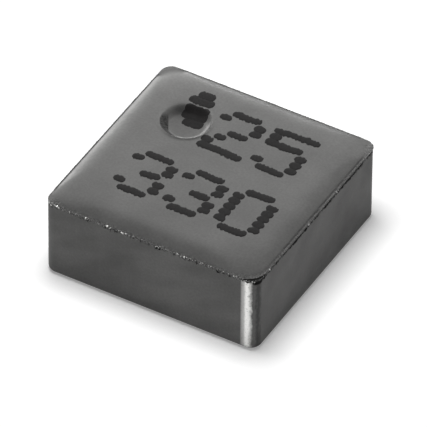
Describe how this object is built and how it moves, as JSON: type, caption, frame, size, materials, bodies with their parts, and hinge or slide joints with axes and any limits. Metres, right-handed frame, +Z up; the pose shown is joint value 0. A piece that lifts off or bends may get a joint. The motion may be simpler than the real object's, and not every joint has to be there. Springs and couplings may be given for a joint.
{
  "type": "shielded smd inductor",
  "caption": "Square shielded power inductor for surface mounting: pressed dark grey powder block with a crowned top, a start dimple, and flat solder terminals underneath.",
  "frame": {"origin": "middle of the block, in the plane of the solder faces", "axes": "+Z up from the solder faces to the marked top, +X from the start terminal to the finish terminal"},
  "size_m": [0.003, 0.003, 0.0012],
  "materials": {
    "powder_block": "satin",
    "powder_core": "matte",
    "copper_wire": "gloss",
    "tin_plating": "satin"
  },
  "bodies": {
    "root": {"moulded_body": "powder_block", "t_core": "powder_core", "winding": "copper_wire", "terminal_start": "tin_plating", "terminal_finish": "tin_plating"}
  },
  "joints": []
}
